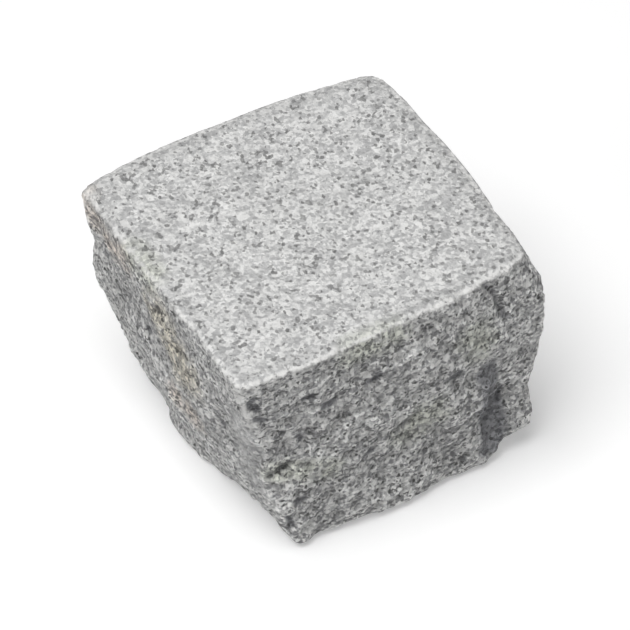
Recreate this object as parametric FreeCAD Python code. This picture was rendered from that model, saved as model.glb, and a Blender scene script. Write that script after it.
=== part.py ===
import FreeCAD, Part
import math
import os

# A cropped granite sett: a flat dressed head, four split sides and a split foot, all in one stone.
# The head was dressed flat. The sides and the foot were cracked off in a splitter, so they lean, belly
# out and carry scars where flakes came away, and the arris around the head is lightly crushed.
# The frame has its origin on the bedding plane under the middle of the head, +X along the head's longer
# side, -Y towards the front face and +Z up through the head. Lengths are millimetres.

# The dressed head and the height of the stone
HEAD_LENGTH = 104.5
HEAD_WIDTH = 102.5
HEIGHT = 80.0
CORNER_RADIUS_FRONT_RIGHT = 3.5
CORNER_RADIUS_BACK_RIGHT = 5.0
CORNER_RADIUS_BACK_LEFT = 2.5
CORNER_RADIUS_FRONT_LEFT = 2.5

# The crushed arris: a narrow uneven slope from the head down to the split faces
ARRIS_WIDTH = 1.2
ARRIS_DEPTH = 1.0
ARRIS_UNEVENNESS = 0.5

# How far each split face stands in from the head's overall length or width. The rows are at the head, at
# half height and at the foot. The stations in a row run from the lower to the higher X or Y.
LEFT_FACE = (
    (1.9, 2.5, 1.4),
    (11.0, 5.5, 5.5),
    (24.5, 16.6, 18.6),
)
RIGHT_FACE = (
    (2.5, 0.0, 2.0),
    (-6.0, -1.5, 1.0),
    (1.0, 4.0, 7.0),
)
FRONT_FACE = (
    (2.5, 2.4, 9.3),
    (5.5, 3.0, 5.5),
    (5.5, 6.7, 7.0),
)
BACK_FACE = (
    (4.0, 0.0, 4.0),
    (7.0, 2.0, 6.0),
    (11.5, 8.0, 13.0),
)

# The undulation that splitting leaves: broad waves with shorter breaks on them, calmer near the arris
WAVE_LENGTH = 27.0
WAVE_HEIGHT = 2.2
BREAK_LENGTH = 11.0
BREAK_HEIGHT = 2.0
CALM_DEPTH = 22.0
CALM_SHARE = 0.25

# The foot: a flat bearing patch inside a ragged rim
RIM_WIDTH = 9.0
RIM_UNEVENNESS = 3.5
RIM_RISE = 0.8
RIM_RAGGEDNESS = 1.6

# The scar on the upright edge between the front and right faces, the hollow where it breaks into the front
# face, and the corner of the foot that went with it
CORNER_SCAR_REACH = 22.0
CORNER_SCAR_BITE = 5.6
CORNER_SCAR_PAST_RIGHT = 5.0
CORNER_SCAR_HEIGHT = 31.0
HOLLOW_REACH = 11.0
HOLLOW_BITE = 5.0
HOLLOW_FROM_RIGHT = 12.5
HOLLOW_HEIGHT = 21.0
CORNER_NOTCH_REACH = 17.0
CORNER_NOTCH_RISE = 9.0

# The step where the front face breaks back beside the scar: its sharp side is deepest low on the face, and it
# fades out to the right, to the foot and upwards
STEP_FROM_RIGHT = 23.5
STEP_SIDE_WIDTH = 3.0
STEP_DEPTH = 3.2
STEP_REACH = 18.0
STEP_FULL_ABOVE = 14.0
STEP_FULL_BELOW = 26.0
STEP_TOP = 56.0

# The chip under the left arris near the back corner
CHIP_REACH = 18.0
CHIP_BITE = 2.6
CHIP_FROM_BACK = 5.0
CHIP_DEPTH = 16.0

# The scar on the upright edge between the left and back faces
FLANK_SCAR_REACH = 15.0
FLANK_SCAR_BITE = 2.4
FLANK_SCAR_HEIGHT = 21.0

# Spacing of the corners of the fracture facets, and how many facets round an upright edge
FACET = 7.0
FACETS_ROUND_EDGE = 2


def lattice_value(i, j, k):
    """A repeatable value from -1 to 1 at a whole-number place."""
    turn = math.sin(i * 12.9898 + j * 78.233 + k * 37.719) * 43758.5453
    return 2.0 * (turn - math.floor(turn)) - 1.0


def ease(share):
    """Eases a share of 0 to 1 at both ends."""
    return share * share * (3.0 - 2.0 * share)


def undulation(place, length):
    """Smooth irregular waves of about that length through space, from -1 to 1."""
    cell = [math.floor(c / length) for c in place]
    share = [ease(c / length - low) for c, low in zip(place, cell)]
    total = 0.0
    for corner in range(8):
        step = [(corner >> axis) & 1 for axis in range(3)]
        weight = math.prod(s if up else 1.0 - s for s, up in zip(share, step))
        total += weight * lattice_value(*(low + up for low, up in zip(cell, step)))
    return total


def curve_through(first, middle, last, share):
    """A parabola through three values at the shares 0, 1/2 and 1."""
    half = 2.0 * share
    return (
        first * (1.0 - half) * (2.0 - half) / 2.0
        + middle * half * (2.0 - half)
        + last * half * (half - 1.0) / 2.0
    )


def inset(face, along, down):
    """How far a split face stands in, at a share along it and a share of the way down."""
    return curve_through(*(curve_through(*row, along) for row in face), down)


def outward(place):
    """The level direction from the stone's upright axis to a place."""
    return FreeCAD.Vector(place.x, place.y, 0.0).normalize()


def fade(place, centre, reach):
    """1 at the centre of a scar, falling to 0 at its reach."""
    share = (place - centre).Length / reach
    return max(0.0, 1.0 - share * share)


def side_points(start, end, breaks):
    """Points between the ends of one side of the head: at its breaks, and evenly spaced between them."""
    stops = [start] + breaks + [end]
    points = []
    for low, high in zip(stops, stops[1:]):
        count = max(1, round((high - low).Length / FACET))
        points += [low + (high - low) * (step / count) for step in range(count)]
    return points[1:]


def head_outline():
    """Points around the head, anticlockwise from its front right corner."""
    corners = [
        (1, -1, CORNER_RADIUS_FRONT_RIGHT),
        (1, 1, CORNER_RADIUS_BACK_RIGHT),
        (-1, 1, CORNER_RADIUS_BACK_LEFT),
        (-1, -1, CORNER_RADIUS_FRONT_LEFT),
    ]
    arcs = []
    for quarter, (side_x, side_y, radius) in enumerate(corners):
        centre = FreeCAD.Vector(
            side_x * (HEAD_LENGTH / 2.0 - radius), side_y * (HEAD_WIDTH / 2.0 - radius), 0.0
        )
        arc = []
        for step in range(FACETS_ROUND_EDGE + 1):
            angle = math.radians(90.0 * (quarter - 1 + step / FACETS_ROUND_EDGE))
            arc.append(centre + FreeCAD.Vector(math.cos(angle), math.sin(angle), 0.0) * radius)
        arcs.append(arc)
    step_sides = []
    for way in (-0.5, 0.5):
        step_x = HEAD_LENGTH / 2.0 - STEP_FROM_RIGHT + way * STEP_SIDE_WIDTH
        step_sides.append(FreeCAD.Vector(step_x, -HEAD_WIDTH / 2.0, 0.0))
    outline = []
    for arc, next_arc, breaks in zip(arcs, arcs[1:] + arcs[:1], ([], [], [], step_sides)):
        outline += arc + side_points(arc[-1], next_arc[0], breaks)
    return outline


def scar_depth(place):
    """How deep the flake scars bite at a place on the split faces."""
    right = HEAD_LENGTH / 2.0
    back = HEAD_WIDTH / 2.0
    flank_x = inset(LEFT_FACE, 1.0, 1.0 - FLANK_SCAR_HEIGHT / HEIGHT) - right
    corner_scar = FreeCAD.Vector(right + CORNER_SCAR_PAST_RIGHT, -back, CORNER_SCAR_HEIGHT)
    hollow = FreeCAD.Vector(right - HOLLOW_FROM_RIGHT, -back, HOLLOW_HEIGHT)
    chip = FreeCAD.Vector(-right, back - CHIP_FROM_BACK, HEIGHT - CHIP_DEPTH)
    flank_scar = FreeCAD.Vector(flank_x, back, FLANK_SCAR_HEIGHT)
    return (
        CORNER_SCAR_BITE * fade(place, corner_scar, CORNER_SCAR_REACH)
        + HOLLOW_BITE * fade(place, hollow, HOLLOW_REACH)
        + CHIP_BITE * fade(place, chip, CHIP_REACH)
        + FLANK_SCAR_BITE * fade(place, flank_scar, FLANK_SCAR_REACH)
    )


def step_depth(base, height):
    """How far the front face steps back under a point of the head's outline, at a height."""
    past_side = base.x - HEAD_LENGTH / 2.0 + STEP_FROM_RIGHT
    if base.y > 0.0 or past_side < 0.0:
        return 0.0
    across = 1.0 - ease(min(1.0, past_side / STEP_REACH))
    low = ease(min(1.0, height / STEP_FULL_ABOVE))
    high = 1.0 - ease(max(0.0, min(1.0, (height - STEP_FULL_BELOW) / (STEP_TOP - STEP_FULL_BELOW))))
    return STEP_DEPTH * across * low * high


def rim_height(base):
    """Height of the foot's ragged rim under a point of the head's outline."""
    ragged = RIM_RAGGEDNESS * (1.0 + undulation(base, BREAK_LENGTH)) / 2.0
    corner = FreeCAD.Vector(HEAD_LENGTH / 2.0, -HEAD_WIDTH / 2.0, 0.0)
    notch = ease(min(1.0, 2.0 * fade(base, corner, CORNER_NOTCH_REACH)))
    return RIM_RISE + ragged + CORNER_NOTCH_RISE * notch


def split_point(base, down):
    """The split surface under a point of the head's outline, at a share of the way down to the rim."""
    along_x = base.x / HEAD_LENGTH + 0.5
    along_y = base.y / HEAD_WIDTH + 0.5
    left = inset(LEFT_FACE, along_y, down)
    right = inset(RIGHT_FACE, along_y, down)
    front = inset(FRONT_FACE, along_x, down)
    back = inset(BACK_FACE, along_x, down)
    place = FreeCAD.Vector(
        base.x + left * (1.0 - along_x) - right * along_x,
        base.y + front * (1.0 - along_y) - back * along_y,
        HEIGHT - down * (HEIGHT - rim_height(base)),
    )
    relief = WAVE_HEIGHT * undulation(place, WAVE_LENGTH) + BREAK_HEIGHT * undulation(place, BREAK_LENGTH)
    roused = ease(min(1.0, (HEIGHT - place.z) / CALM_DEPTH))
    relief *= CALM_SHARE + (1.0 - CALM_SHARE) * roused
    return place + outward(place) * (relief - scar_depth(place) - step_depth(base, place.z))


def drawn_in(ring, width, unevenness, level):
    """A ring of points at a level, drawn in from another ring by an uneven width."""
    points = []
    for point in ring:
        inner = point - outward(point) * (width + unevenness * undulation(point, BREAK_LENGTH))
        points.append(FreeCAD.Vector(inner.x, inner.y, level))
    return points


def rings():
    """Closed rings of points around the stone, from the head's edge down to the bearing patch."""
    outline = head_outline()
    rows = max(3, round(HEIGHT / FACET))
    shares = [ARRIS_DEPTH / HEIGHT] + [row / rows for row in range(1, rows + 1)]
    sides = [[split_point(base, share) for base in outline] for share in shares]
    head = drawn_in(sides[0], ARRIS_WIDTH, ARRIS_UNEVENNESS, HEIGHT)
    foot = drawn_in(sides[-1], RIM_WIDTH, RIM_UNEVENNESS, 0.0)
    return [head] + sides + [foot]


def facet(*corners):
    """One flat facet through its corners."""
    return Part.Face(Part.makePolygon(list(corners) + [corners[0]]))


def band(upper, lower, row):
    """The fracture facets between two rings, with their diagonals turned by turns."""
    faces = []
    for i in range(len(upper)):
        j = (i + 1) % len(upper)
        if (i + row) % 2:
            faces += [facet(upper[i], lower[i], lower[j]), facet(upper[i], lower[j], upper[j])]
        else:
            faces += [facet(upper[i], lower[i], upper[j]), facet(upper[j], lower[i], lower[j])]
    return faces


def granite_sett():
    """The whole stone as one closed solid, turned so that its faces point outwards."""
    loops = rings()
    faces = [facet(*loops[0]), facet(*loops[-1])]
    for row, (upper, lower) in enumerate(zip(loops, loops[1:])):
        faces += band(upper, lower, row)
    stone = Part.makeSolid(Part.Shell(faces))
    if stone.Volume < 0.0:
        stone.reverse()
    return stone


os.makedirs("parts", exist_ok=True)
sett = granite_sett()
sett.exportStep("parts/granite_sett.step")
print("valid", sett.isValid(), "facets", len(sett.Faces), "cubic mm", round(sett.Volume), sett.BoundBox)
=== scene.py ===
import bpy
import numpy as np
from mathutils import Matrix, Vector, noise


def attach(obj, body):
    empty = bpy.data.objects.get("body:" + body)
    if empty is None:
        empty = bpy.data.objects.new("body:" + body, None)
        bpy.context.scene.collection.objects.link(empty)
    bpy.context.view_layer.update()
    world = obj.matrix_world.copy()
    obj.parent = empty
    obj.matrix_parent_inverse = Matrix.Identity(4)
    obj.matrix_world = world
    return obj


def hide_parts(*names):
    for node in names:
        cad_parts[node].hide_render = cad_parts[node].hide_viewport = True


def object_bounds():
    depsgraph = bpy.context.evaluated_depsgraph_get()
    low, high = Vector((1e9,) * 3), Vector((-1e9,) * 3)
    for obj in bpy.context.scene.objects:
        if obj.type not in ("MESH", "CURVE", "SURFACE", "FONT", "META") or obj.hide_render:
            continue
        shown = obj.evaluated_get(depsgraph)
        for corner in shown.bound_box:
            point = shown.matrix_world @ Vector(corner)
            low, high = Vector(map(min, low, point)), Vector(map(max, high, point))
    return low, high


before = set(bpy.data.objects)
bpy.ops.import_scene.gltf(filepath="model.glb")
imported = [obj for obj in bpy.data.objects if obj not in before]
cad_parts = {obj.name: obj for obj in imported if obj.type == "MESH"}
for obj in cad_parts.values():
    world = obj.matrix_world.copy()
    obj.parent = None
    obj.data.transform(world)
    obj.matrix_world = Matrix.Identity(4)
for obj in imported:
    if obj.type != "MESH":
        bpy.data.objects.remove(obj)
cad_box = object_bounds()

# The sett
# One block of fine grey granite. Its head was dressed flat, and its sides and foot were cracked off in a
# splitter. The frame gives the lean, the bellies, the scars and the broken step, and the finer relief of the
# break and the wear of the arris are worked in here.
MM = 0.001
MESH_SPACING = 0.75 * MM
MERGE_DISTANCE = 0.01 * MM
SOFTENING_STEP = 0.5
FACET_SOFTENING = 6
EDGE_SOFTENING = 1
MARK_SOFTENING = 7

# Spans over which a weight rises from 0 to 1, going down from the head, up from the bed, forward from the
# stone's middle and away from the head's edge. A band is the span where it rises and the one where it falls.
SPLIT_BELOW_HEAD = (0.6 * MM, 2.6 * MM)
CALM_BELOW_HEAD = (1.0 * MM, 14.0 * MM)
HEAD_DEPTH = (0.3 * MM, 1.1 * MM)
CRUSHED_BAND = ((0.0 * MM, 0.25 * MM), (1.1 * MM, 1.9 * MM))
SPLIT_ABOVE_BED = (0.3 * MM, 2.5 * MM)
RIM_TOP = (3.2 * MM, 5.5 * MM)
FRONT_STARTS = (38.0 * MM, 46.0 * MM)
ARRIS_REACH = (0.3 * MM, 1.6 * MM)
# The band on the head, just inside its edge, where shade is painted
EDGE_SHADE_BAND = ((0.6 * MM, 1.6 * MM), (3.0 * MM, 5.0 * MM))
EDGE_LEFT_OUT = (2.0 * MM, 8.0 * MM)

# Shares of the relief that are left near the head and on the faces other than the front one, and the share
# of the crushed powder that is left along those faces
CALM_SHARE = 0.4
REAR_SHARE = 0.7
REAR_POWDER_SHARE = 0.55

# The relief of the break, of the bed, of the arris and of the head: its pattern, its size and depth in
# millimetres, the weight that it follows, the level of the pattern that stays where it is, and the pattern's
# own settings. At level 1 it only cuts in, and a depth below 0 turns hills and hollows round.
RELIEF = (
    ("shells", "VORONOI", 9.0, 0.8, "broken", 0.53, {}),
    ("hackles", "CLOUDS", 5.0, -2.0, "broken", 0.28, {"noise_depth": 4, "noise_type": "HARD_NOISE"}),
    ("crumbs", "VORONOI", 2.3, -0.55, "split", 0.50, {}),
    ("bed_grain", "CLOUDS", 5.0, 0.9, "bed", 1.0, {"noise_depth": 3}),
    ("arris_chips", "CLOUDS", 3.5, 0.7, "arris", 1.0, {"noise_depth": 3, "contrast": 2.5}),
    ("head_sway", "CLOUDS", 9.0, 0.30, "dressed", 1.0, {"noise_depth": 2}),
    ("head_crumbs", "VORONOI", 2.0, 0.16, "dressed", 1.0, {}),
)

# Marks of the break, as the runs of points that they follow and their width, all in millimetres: bites and
# swells of the left face's outer edges, small holes where flakes came away, sharp creases, and chips out of
# the arris
BITE_DEPTH = 1.9 * MM
BITES = (
    (((-46.0, 43.0, 36.5), (-44.4, 40.6, 31.5), (-44.1, 38.6, 29.4)), 6.0),
    (((-34.7, -15.5, 3.0), (-33.4, -22.0, 3.2), (-32.8, -25.5, 3.0)), 4.5),
    (((-32.4, -32.0, 5.0), (-31.0, -34.8, 3.0)), 5.0),
)
SWELL_HEIGHT = 1.7 * MM
SWELLS = (
    (((-48.4, 43.0, 73.6), (-48.0, 43.2, 71.0), (-47.5, 42.6, 67.0)), 6.0),
    (((-36.2, 13.0, 3.5), (-36.0, 6.0, 3.6), (-35.2, -0.5, 3.2)), 5.0),
)
PIT_DEPTH = 1.1 * MM
PITS = (
    (((-45.2, -48.0, 71.1), (-44.2, -47.8, 67.5)), 2.0),
    (((-43.0, -47.0, 62.5), (-40.5, -47.2, 60.5)), 1.8),
    (((-28.9, -46.8, 47.6), (-28.6, -46.9, 46.4)), 1.7),
    (((-27.4, -48.2, 64.4), (-25.0, -48.4, 64.0)), 1.6),
    (((-29.9, -48.1, 21.0), (-27.8, -48.4, 21.6)), 2.0),
    (((-32.2, -47.0, 15.0), (-31.0, -47.8, 11.6), (-32.6, -47.0, 10.6)), 1.9),
    (((-8.0, -49.0, 28.0), (-5.6, -49.0, 30.6)), 2.0),
    (((-21.0, -48.6, 58.0), (-17.6, -48.9, 58.6)), 1.9),
    (((-6.0, -49.4, 60.4), (-3.4, -49.6, 62.2)), 1.9),
    (((21.1, -48.9, 48.5), (23.2, -48.8, 49.2)), 2.2),
    (((41.9, -44.0, 27.7), (41.0, -44.4, 25.6)), 1.8),
    (((-49.9, -0.7, 70.5), (-49.8, -0.7, 69.5)), 1.9),
    (((-47.8, 8.4, 54.0), (-47.6, 9.4, 51.4)), 1.9),
    (((-47.5, 16.2, 43.6), (-47.3, 16.7, 41.0)), 2.2),
    (((-44.8, -29.6, 46.0), (-44.6, -30.0, 44.8)), 1.8),
    (((55.0, 8.0, 52.0), (55.2, 10.6, 50.0)), 2.4),
    (((-6.0, 50.0, 46.0), (-9.0, 50.0, 44.4)), 2.4),
)
CREASE_DEPTH = 1.3 * MM
CREASES = (
    (((33.5, -45.7, 78.6), (35.3, -46.0, 75.0), (37.0, -46.2, 71.7), (39.8, -46.4, 62.3)), 1.4),
    (((-37.6, -45.4, 34.4), (-34.3, -46.5, 35.8), (-31.6, -47.0, 37.2)), 1.8),
    (((2.0, -48.8, 34.6), (6.0, -49.0, 35.4), (10.0, -49.2, 37.6)), 1.6),
)
CHIP_DEPTH = 0.9 * MM
CHIPS = (
    (((-16.5, -50.6, 79.4), (-10.0, -51.0, 79.2)), 2.4),
    (((-1.0, -51.3, 79.2), (3.0, -51.4, 79.4)), 2.0),
    (((22.0, -50.2, 79.4), (25.0, -49.6, 79.4)), 1.8),
    (((-52.2, 27.0, 79.4), (-52.0, 31.0, 79.4)), 1.8),
    (((-49.8, -26.0, 79.4), (-50.2, -21.0, 79.4)), 1.6),
)

# How far the borders of marks stray, over what length, how much of that a crease has, and the seed that
# fixes where they stray
RAGGED_REACH = 1.2 * MM
RAGGED_LENGTH = 3.0 * MM
CREASE_RAGGEDNESS = 0.4
RAGGED_SEED = 6

# The upright edge that was bruised pale below the head's corner, and the smoother band beside it, in the
# same way
PALE_EDGE = (
    (((-49.3, -47.8, 78.1), (-48.1, -47.2, 71.4), (-46.6, -46.4, 64.0), (-45.0, -45.6, 57.0)), 1.9),
)
RUBBED_BAND = (
    (((-45.8, -42.0, 64.0), (-43.6, -40.0, 52.0), (-40.0, -38.5, 40.0), (-37.0, -39.0, 30.0)), 6.5),
)

# Where shadow is painted dark into the hollow beside the broken step, in the same way
SHADED_HOLLOW_MARKS = (
    (((34.2, -47.0, 43.0), (35.4, -46.2, 37.0), (36.0, -45.2, 30.0)), 5.5),
    (((36.0, -45.2, 30.0), (37.4, -43.4, 20.0), (37.8, -43.9, 10.0)), 7.5),
)
# Where rain and soil have tinted the stone, in the same way
OCHRE = (
    (((-51.2, -1.6, 66.0), (-49.6, -9.0, 59.0), (-48.6, -12.7, 55.0)), 12.0),
    (((-20.0, 48.0, 30.0), (-8.0, 48.0, 24.0)), 16.0),
)
ROSY = (
    (((-44.6, -6.0, 37.0), (-44.1, -10.0, 31.0)), 8.0),
    (((-49.8, 44.0, 74.0), (-50.4, 30.0, 71.0), (-52.0, 20.0, 73.0)), 7.0),
    (((54.0, 24.0, 26.0), (53.0, 18.0, 18.0)), 12.0),
)
OLIVE = (
    (((-49.6, 15.0, 80.0), (-49.6, 5.0, 80.0)), 7.0),
    (((-12.0, -50.4, 76.0), (2.0, -50.8, 76.0)), 7.0),
    (((29.0, -50.1, 61.0), (32.0, -50.0, 56.0)), 8.0),
    (((8.0, -49.0, 33.0), (14.0, -49.0, 36.0)), 9.0),
    (((-36.0, -46.0, 36.0), (-19.0, -48.2, 30.0)), 6.0),
)

# Shade is painted into the dips and a highlight is painted onto what stands proud, both measured against the
# stone's relaxed form. Shade is also painted into a band on the head just inside the arris. Creases get less
# of the painted shade than pits.
DIP_ROUNDS = 40
DIP_RANGE = 1.6 * MM
EDGE_SHADE_SHARE = 0.12
CREASE_SHADE_SHARE = 0.6


def select_only(piece):
    """Leaves one object selected and active."""
    bpy.ops.object.select_all(action="DESELECT")
    piece.select_set(True)
    bpy.context.view_layer.objects.active = piece


def apply_modifier(piece, kind, **settings):
    """Adds one modifier and applies it at once."""
    modifier = piece.modifiers.new(kind.title(), kind)
    for name, value in settings.items():
        setattr(modifier, name, value)
    bpy.ops.object.modifier_apply(modifier=modifier.name)


def rows_of(piece, value):
    """A position or normal of each of the piece's points, as an array of rows."""
    flat = np.empty(len(piece.data.vertices) * 3)
    piece.data.vertices.foreach_get(value, flat)
    return flat.reshape(-1, 3)


def ease(value, span):
    """0 before the span, 1 after it, and smooth between."""
    share = np.clip((value - span[0]) / (span[1] - span[0]), 0.0, 1.0)
    return share * share * (3.0 - 2.0 * share)


def within(value, band):
    """1 inside a band, easing to 0 on both sides of it."""
    return ease(value, band[0]) * (1.0 - ease(value, band[1]))


def at_least(low, share):
    """The low value where a share is 0, rising to 1 where it is 1."""
    return low + (1.0 - low) * share


def head_edge(points):
    """The closed run of points around the flat head, in order round its middle."""
    ring = points[points[:, 2] > points[:, 2].max() - MERGE_DISTANCE]
    from_middle = ring - ring.mean(axis=0)
    ring = ring[np.argsort(np.arctan2(from_middle[:, 1], from_middle[:, 0]))]
    return np.vstack([ring, ring[:1]])


def distance_to_run(points, run):
    """The distance of each point from a run of straight lines."""
    nearest = np.full(len(points), np.inf)
    for start, end in zip(run, run[1:]):
        line = end - start
        share = np.clip((points - start) @ line / max(line @ line, np.finfo(float).tiny), 0.0, 1.0)
        nearest = np.minimum(nearest, np.linalg.norm(points - start - share[:, None] * line, axis=1))
    return nearest


def near_marks(points, marks):
    """1 along the middle of each mark, falling to 0 at its width. The run is laid on the nearest points."""
    nearness = np.zeros(len(points))
    for run, width in marks:
        laid = [points[np.argmin(np.linalg.norm(points - stop, axis=1))] for stop in np.array(run) * MM]
        away = distance_to_run(points, laid) / (width * MM)
        nearness = np.maximum(nearness, 1.0 - np.clip(away, 0.0, 1.0) ** 2)
    return nearness


def weigh(piece, name, weights):
    """Keeps a weight for each point as a vertex group."""
    group = piece.vertex_groups.new(name=name)
    for index in np.flatnonzero(weights > 0.0):
        group.add([int(index)], float(weights[index]), "REPLACE")


def carve(piece, name, kind, size, depth, group, level, settings):
    """Works an irregular pattern into the weighted surface."""
    pattern = bpy.data.textures.new(name, kind)
    pattern.noise_scale = size
    for key, value in settings.items():
        setattr(pattern, key, value)
    apply_modifier(
        piece, "DISPLACE", texture=pattern, texture_coords="LOCAL", mid_level=level, strength=depth,
        vertex_group=group,
    )


def dent(piece, depth, group):
    """Presses the weighted places in by a depth."""
    apply_modifier(piece, "DISPLACE", mid_level=0.0, strength=-depth, vertex_group=group)


def soften(piece, rounds, group=""):
    """Smooths the weighted places, or the whole piece."""
    apply_modifier(piece, "SMOOTH", factor=SOFTENING_STEP, iterations=rounds, vertex_group=group)


def relaxed(piece, rounds):
    """The piece's points drawn towards their neighbours again and again, so only the broad form is left."""
    points = rows_of(piece, "co")
    pairs = np.empty(len(piece.data.edges) * 2, dtype=np.int32)
    piece.data.edges.foreach_get("vertices", pairs)
    near, far = pairs[0::2], pairs[1::2]
    neighbours = np.bincount(pairs, minlength=len(points))
    for _ in range(rounds):
        drawn = np.empty_like(points)
        for axis in range(3):
            pull = np.bincount(near, points[far, axis], len(points))
            pull += np.bincount(far, points[near, axis], len(points))
            drawn[:, axis] = pull / neighbours
        points = (points + drawn) / 2.0
    return points


def keep_attribute(piece, name, values):
    """Keeps one value for each point, for the material to read."""
    kept = piece.data.attributes.new(name, "FLOAT", "POINT")
    kept.data.foreach_set("value", np.asarray(values, dtype=np.float32))


# The frame's stone, copied, closed up and given an even fine mesh
stone = bpy.data.objects.new("sett_stone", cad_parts["granite_sett"].data.copy())
bpy.context.scene.collection.objects.link(stone)
stone.data.materials.clear()
select_only(stone)
bpy.ops.object.mode_set(mode="EDIT")
bpy.ops.mesh.select_all(action="SELECT")
bpy.ops.mesh.remove_doubles(threshold=MERGE_DISTANCE)
bpy.ops.object.mode_set(mode="OBJECT")
head_run = head_edge(rows_of(stone, "co"))
apply_modifier(stone, "REMESH", mode="VOXEL", voxel_size=MESH_SPACING)

# Where each finish and each mark lies on it
plain = rows_of(stone, "co")
noise.seed_set(RAGGED_SEED)
wander = RAGGED_REACH * np.array([noise.noise_vector(Vector(point) / RAGGED_LENGTH) for point in plain])
ragged_places = plain + wander
below_head = cad_box[1].z - plain[:, 2]
above_bed = ease(plain[:, 2], SPLIT_ABOVE_BED)
split = ease(below_head, SPLIT_BELOW_HEAD) * above_bed
front = ease(-plain[:, 1], FRONT_STARTS)
roused = at_least(CALM_SHARE, ease(below_head, CALM_BELOW_HEAD)) * at_least(REAR_SHARE, front)
dressed = 1.0 - ease(below_head, HEAD_DEPTH)
from_edge = distance_to_run(plain, head_run)
rim = 1.0 - ease(plain[:, 2], RIM_TOP)
bites = near_marks(ragged_places, BITES)
pits = near_marks(ragged_places, PITS)
creases = near_marks(plain + CREASE_RAGGEDNESS * wander, CREASES)
chips = near_marks(ragged_places, CHIPS)
weigh(stone, "split", split)
weigh(stone, "broken", split * roused)
weigh(stone, "bed", 1.0 - above_bed)
weigh(stone, "dressed", dressed)
weigh(stone, "arris", 1.0 - ease(from_edge, ARRIS_REACH))
weigh(stone, "bites", bites)
weigh(stone, "swells", near_marks(ragged_places, SWELLS))
weigh(stone, "pits", pits)
weigh(stone, "creases", creases)
weigh(stone, "chips", chips)
weigh(stone, "marked", np.sqrt(np.max([bites, pits, creases, chips, rim], axis=0)))

# The facets are softened, the relief is worked in, and what would fold at the marks is eased
soften(stone, FACET_SOFTENING, "split")
soften(stone, EDGE_SOFTENING)
dent(stone, BITE_DEPTH, "bites")
dent(stone, -SWELL_HEIGHT, "swells")
for name, kind, size, depth, group, level, settings in RELIEF:
    carve(stone, name, kind, size * MM, depth * MM, group, level, settings)
dent(stone, PIT_DEPTH, "pits")
dent(stone, CREASE_DEPTH, "creases")
dent(stone, CHIP_DEPTH, "chips")
soften(stone, MARK_SOFTENING, "marked")
bpy.ops.object.vertex_group_remove(all=True)
stone.data.vertices.foreach_set("co", np.clip(rows_of(stone, "co"), cad_box[0], cad_box[1]).ravel())
stone.data.update()
bpy.ops.object.shade_smooth()

# What the material reads at each point
# Painted shade for the dips and a painted highlight for what stands proud, measured against the relaxed form
dips = np.sum((relaxed(stone, DIP_ROUNDS) - rows_of(stone, "co")) * rows_of(stone, "normal"), axis=1)
dips *= ease(from_edge, EDGE_LEFT_OUT)
# A band just inside the head's edge, where shade is painted
edge_shade = dressed * within(from_edge, EDGE_SHADE_BAND)
crushed = within(below_head, CRUSHED_BAND) * at_least(REAR_POWDER_SHARE, front)
# Painted shade in the pits, the creases and the hollow beside the broken step
shade_in_hollows = np.max([pits, CREASE_SHADE_SHARE * creases, near_marks(ragged_places, SHADED_HOLLOW_MARKS)], axis=0)
keep_attribute(stone, "dressed", dressed)
keep_attribute(stone, "crushed", np.maximum(crushed, near_marks(ragged_places, PALE_EDGE)))
keep_attribute(stone, "rubbed", near_marks(plain, RUBBED_BAND))
keep_attribute(stone, "dip_shading", np.clip(0.5 + dips / DIP_RANGE + EDGE_SHADE_SHARE * edge_shade, 0.0, 1.0))
keep_attribute(stone, "shade_in_hollows", shade_in_hollows)
for name, marks in (("ochre", OCHRE), ("rosy", ROSY), ("olive", OLIVE)):
    keep_attribute(stone, name, near_marks(plain, marks))

# The granite's minerals and what lies on them, in shares of the light that they throw back. White and grey
# feldspar and glassy quartz lock into one another, flecked with black mica.
SMOKY_QUARTZ = (0.20, 0.20, 0.205)
QUARTZ = (0.38, 0.38, 0.382)
FELDSPAR = (0.57, 0.57, 0.563)
PALE_FELDSPAR = (0.88, 0.875, 0.86)
MINERALS = ((0.16, SMOKY_QUARTZ), (0.34, QUARTZ), (0.52, FELDSPAR), (0.74, PALE_FELDSPAR))
MICA = (0.05, 0.05, 0.048)
BRUISED = (0.77, 0.77, 0.765)
CRUSHED = (0.76, 0.755, 0.74)
RUBBED = (0.56, 0.56, 0.56)
# A painted shade for the pits, the creases and the hollow beside the broken step
PAINTED_SHADE = (0.40, 0.405, 0.43)
TINTS = {"ochre": (1.06, 1.00, 0.86), "rosy": (1.09, 0.99, 0.91), "olive": (0.95, 0.97, 0.89)}
BRUISED_SHARE = 0.42
RUBBED_SHARE = 0.5

# Sizes of the crystals, and of what is finer or broader than they are, in millimetres
CRYSTAL_SIZE = 0.9
LARGE_CRYSTAL_SIZE = 1.7
MICA_SIZE = 0.95
MICA_STRETCH = (1.0, 0.85, 1.15)
BORDER_SIZE = 0.6
BORDER_REACH = 0.35
CLOUD_SIZE = 1.3
GATHER_SIZE = 5.0
STAIN_SIZE = 5.0
PATCH_SIZE = 13.0
POWDER_SIZE = 1.6
FINE_SIZE = 0.5
FINE_HEIGHT = 0.16

# Spans from a range of a pattern or an attribute, the first two numbers, to a range of shares or levels
LARGE_CRYSTALS = (0.66, 0.70, 0.0, 1.0)
CLOUDINESS = (0.3, 0.7, 0.0, 0.35)
MICA_FLAKES = (0.86, 0.90, 0.0, 1.0)
MICA_GATHERING = (0.3, 0.7, -0.07, 0.07)
MICA_TONES = (0.0, 1.0, 0.65, 1.0)
MICA_ON_HEAD = (0.0, 1.0, 1.0, 0.70)
STAIN_PATCHES = (0.28, 0.56, 0.15, 1.0)
BROAD_PATCHES = (0.3, 0.7, 0.87, 1.13)
PATCHES_ON_HEAD = (0.0, 1.0, 1.0, 0.35)
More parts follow.
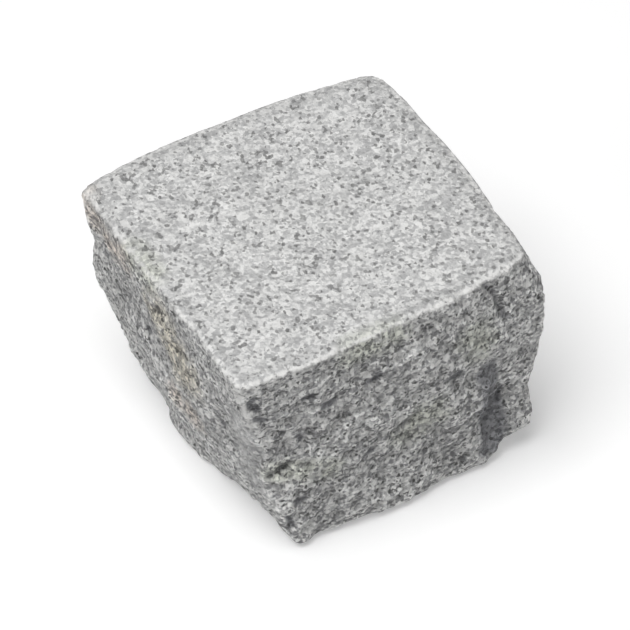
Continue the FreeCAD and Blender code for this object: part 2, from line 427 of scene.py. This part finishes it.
# Levels of the painted shade in the dips and of the painted highlight on what stands proud
DIP_SHADING_LEVELS = (0.1, 0.9, 1.15, 0.62)
HEAD_LEVELS = (0.0, 1.0, 0.87, 1.0)
# Levels of the painted shade in the pits, creases and hollow
PAINTED_SHADE_LEVELS = (0.1, 0.8, 0.0, 1.0)
POWDER = (0.34, 0.54, 0.0, 0.90)
CRYSTAL_ROUGHNESS = (0.0, 1.0, 0.48, 0.72)
CRYSTAL_LEAN = (0.0, 1.0, 0.9, 0.4)
MICA_GLOSS = 0.15
HEAD_ROUGHNESS = 0.12
MIDDLE = (0.5, 0.5, 0.5)


class Nodes:
    """Adds and links shader nodes in one material, in the order that its look is built up."""

    def __init__(self, tree):
        self.tree = tree

    def add(self, kind, inputs=(), **settings):
        made = self.tree.nodes.new("ShaderNode" + kind)
        for name, value in settings.items():
            setattr(made, name, value)
        for key, value in dict(inputs).items():
            self.feed(made.inputs[key], value)
        return made

    def feed(self, socket, value):
        if isinstance(value, bpy.types.NodeSocket):
            self.tree.links.new(value, socket)
        elif socket.type == "RGBA":
            socket.default_value = (*value, 1.0)
        else:
            socket.default_value = value

    def math(self, operation, first, second=0.0, clamp=False):
        return self.add("Math", {0: first, 1: second}, operation=operation, use_clamp=clamp).outputs[0]

    def vector(self, operation, first, second=(0.0, 0.0, 0.0)):
        key = "Scale" if operation == "SCALE" else 1
        return self.add("VectorMath", {0: first, key: second}, operation=operation).outputs["Vector"]

    def span(self, value, low, high, to_low, to_high):
        inputs = {"Value": value, "From Min": low, "From Max": high, "To Min": to_low, "To Max": to_high}
        return self.add("MapRange", inputs, interpolation_type="SMOOTHSTEP").outputs[0]

    def mix(self, share, first, second, blend="MIX"):
        inputs = {0: share, 6: first, 7: second}
        return self.add("Mix", inputs, data_type="RGBA", blend_type=blend).outputs[2]

    def noise(self, place, size, detail=2.0, output="Fac"):
        inputs = {"Vector": place, "Scale": 1.0 / size, "Detail": detail}
        return self.add("TexNoise", inputs).outputs[output]

    def cells(self, place, size):
        return self.add("TexVoronoi", {"Vector": place, "Scale": 1.0 / size}).outputs

    def parts(self, colour):
        return self.add("SeparateColor", {0: colour}).outputs

    def attribute(self, name):
        return self.add("Attribute", attribute_name=name).outputs["Fac"]

    def ramp(self, value, stops):
        made = self.add("ValToRGB", {0: value})
        elements = made.color_ramp.elements
        while len(elements) < len(stops):
            elements.new(1.0)
        for element, (position, colour) in zip(elements, stops):
            element.position = position
            element.color = (*colour, 1.0)
        return made.outputs[0]


granite = bpy.data.materials.new("grey_granite")
granite.use_nodes = True
look = Nodes(granite.node_tree)
surface = granite.node_tree.nodes["Principled BSDF"]
is_dressed = look.attribute("dressed")

# Feldspar and quartz in crystals of two sizes, with ragged borders and a cloudy inside, and the bruises that
# dressing left on the head
place = look.vector("SCALE", look.add("TexCoord").outputs["Object"], 1.0 / MM)
sway = look.vector("SUBTRACT", look.noise(place, BORDER_SIZE, output="Color"), MIDDLE)
ragged = look.vector("ADD", place, look.vector("SCALE", sway, BORDER_REACH))
draw = look.parts(look.cells(ragged, CRYSTAL_SIZE)["Color"])
large_draw = look.parts(look.cells(ragged, LARGE_CRYSTAL_SIZE)["Color"])
is_large = look.span(large_draw[1], *LARGE_CRYSTALS)
pick = look.add("Mix", {0: is_large, 2: draw[0], 3: large_draw[0]}, data_type="FLOAT").outputs[0]
clouds = look.span(look.noise(place, CLOUD_SIZE, 3.0), *CLOUDINESS)
mottle = look.math("ADD", look.math("MULTIPLY", pick, 1.0 - CLOUDINESS[-1]), clouds)
colour = look.ramp(mottle, MINERALS)
colour = look.mix(look.math("MULTIPLY", is_dressed, BRUISED_SHARE), colour, BRUISED)

# Mica, in flakes that gather here and there
flakes = look.cells(look.vector("MULTIPLY", ragged, MICA_STRETCH), MICA_SIZE)
gather = look.span(look.noise(place, GATHER_SIZE), *MICA_GATHERING)
flake_draw = look.parts(flakes["Color"])
flake_tone = look.span(flake_draw[1], *MICA_TONES)
flake_share = look.span(look.math("ADD", flake_draw[0], gather), *MICA_FLAKES)
is_mica = look.math("MULTIPLY", flake_share, flake_tone)
colour = look.mix(look.math("MULTIPLY", is_mica, look.span(is_dressed, *MICA_ON_HEAD)), colour, MICA)

# The rubbed band, stains, broad patches, painted shade in the dips and inside the head's edge with a painted
# highlight on what stands proud, painted shade in the pits, creases and hollow, and the pale powder of the
# crushed arris
colour = look.mix(look.math("MULTIPLY", look.attribute("rubbed"), RUBBED_SHARE), colour, RUBBED)
patchy = look.span(look.noise(place, STAIN_SIZE, 4.0), *STAIN_PATCHES)
for name, tint in TINTS.items():
    colour = look.mix(look.math("MULTIPLY", look.attribute(name), patchy), colour, tint, "MULTIPLY")
patches = look.span(look.noise(place, PATCH_SIZE), *BROAD_PATCHES)
colour = look.mix(look.span(is_dressed, *PATCHES_ON_HEAD), colour, patches, "MULTIPLY")
# Painted shade in the dips and just inside the head's edge, and a painted highlight on what stands proud
colour = look.mix(1.0, colour, look.span(look.attribute("dip_shading"), *DIP_SHADING_LEVELS), "MULTIPLY")
colour = look.mix(1.0, colour, look.span(is_dressed, *HEAD_LEVELS), "MULTIPLY")
# Painted shade in the pits, the creases and the hollow beside the broken step
colour = look.mix(look.span(look.attribute("shade_in_hollows"), *PAINTED_SHADE_LEVELS), colour, PAINTED_SHADE, "MULTIPLY")
powder = look.span(look.noise(place, POWDER_SIZE, 4.0), *POWDER)
colour = look.mix(look.math("MULTIPLY", look.attribute("crushed"), powder), colour, CRUSHED)
look.feed(surface.inputs["Base Color"], colour)

# Gloss, the lean of each broken crystal, and the finest relief
gloss = look.math("MULTIPLY", is_mica, MICA_GLOSS)
roughness = look.math("SUBTRACT", look.span(draw[2], *CRYSTAL_ROUGHNESS), gloss)
roughness = look.math("ADD", roughness, look.math("MULTIPLY", is_dressed, HEAD_ROUGHNESS), clamp=True)
look.feed(surface.inputs["Roughness"], roughness)
lean = look.add("CombineXYZ", {0: draw[1], 1: draw[2], 2: large_draw[2]}).outputs[0]
lean = look.vector("SCALE", look.vector("SUBTRACT", lean, MIDDLE), look.span(is_dressed, *CRYSTAL_LEAN))
facing = look.vector("NORMALIZE", look.vector("ADD", look.add("NewGeometry").outputs["Normal"], lean))
fine = look.math("MULTIPLY", look.noise(place, FINE_SIZE, 3.0), FINE_HEIGHT)
bump = look.add("Bump", {"Height": fine, "Strength": 1.0, "Distance": MM, "Normal": facing})
look.feed(surface.inputs["Normal"], bump.outputs[0])

stone.data.materials.append(granite)
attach(stone, "root")
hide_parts("granite_sett")

# The floor
# A plain white sheet that the stone stands on. It is matt card, and it runs out of sight on all sides. It is
# lifted to white only where it is seen, so that it lights the stone no more than card would.
FLOOR_SIZE = 8.0
CARD = (0.80, 0.80, 0.80)
CARD_LIFT = 0.30


def seen_rays(nodes):
    """1 for rays that show a surface, straight or in gloss or glass, and 0 for those that light the stone."""
    rays = nodes.add("LightPath").outputs
    seen = nodes.math("MAXIMUM", rays["Is Camera Ray"], rays["Is Glossy Ray"])
    return nodes.math("MAXIMUM", seen, rays["Is Transmission Ray"])


bpy.ops.mesh.primitive_plane_add(size=FLOOR_SIZE, location=(0.0, 0.0, 0.0))
floor = bpy.context.active_object
floor.name = "floor_card"
card = bpy.data.materials.new("white_card")
card.use_nodes = True
card.node_tree.nodes.clear()
card_look = Nodes(card.node_tree)
matt = card_look.add("BsdfDiffuse", {"Color": CARD}).outputs[0]
lift = card_look.add("Emission", {"Strength": CARD_LIFT}).outputs[0]
lifted = card_look.add("AddShader", {0: matt, 1: lift}).outputs[0]
card_face = card_look.add("MixShader", {0: seen_rays(card_look), 1: matt, 2: lifted}).outputs[0]
card_look.add("OutputMaterial", {"Surface": card_face})
floor.data.materials.append(card)

# The light
# A broad soft lamp hangs above, a smaller one stands at the left and a weak one in front, in a dim room that
# is white only to the eye. Each lamp has its place and size in metres and its power in watts.
LAMPS = (
    ("overhead_lamp", (-0.60, -0.20, 1.9), 1.3, 35.5),
    ("left_lamp", (-1.9, -0.3, 1.1), 0.9, 3.2),
    ("front_lamp", (0.2, -2.0, 0.9), 1.2, 3.2),
)
WHITE = (1.0, 1.0, 1.0)
ROOM_LEVELS = (0.0, 1.0, 0.15, 1.0)
for name, location, size, power in LAMPS:
    bpy.ops.object.light_add(type="AREA", location=location)
    lamp = bpy.context.active_object
    lamp.name = name
    lamp.data.size = size
    lamp.data.energy = power
    lamp.rotation_euler = (-Vector(location)).to_track_quat("-Z", "Y").to_euler()
    lamp.visible_camera = False
room = bpy.data.worlds.new("white_room")
room.use_nodes = True
room.node_tree.nodes.clear()
room_look = Nodes(room.node_tree)
level = room_look.span(seen_rays(room_look), *ROOM_LEVELS)
around = room_look.add("Background", {"Color": WHITE, "Strength": level})
room_look.add("OutputWorld", {"Surface": around.outputs[0]})
bpy.context.scene.world = room
bpy.context.scene.view_settings.view_transform = "Standard"

# The camera
# It stands about two metres away, with a long lens, and looks down on the head, the left face and the front
# face.
CAMERA_PLACE = Vector((-0.7731, -1.3691, 1.6312))
CAMERA_AIM = Vector((0.003, 0.0, 0.041))
CAMERA_LENS = 434.0
bpy.ops.object.camera_add(location=CAMERA_PLACE)
camera = bpy.context.active_object
camera.name = "camera"
camera.data.lens = CAMERA_LENS
camera.rotation_euler = (CAMERA_AIM - CAMERA_PLACE).to_track_quat("-Z", "Y").to_euler()
bpy.context.scene.camera = camera
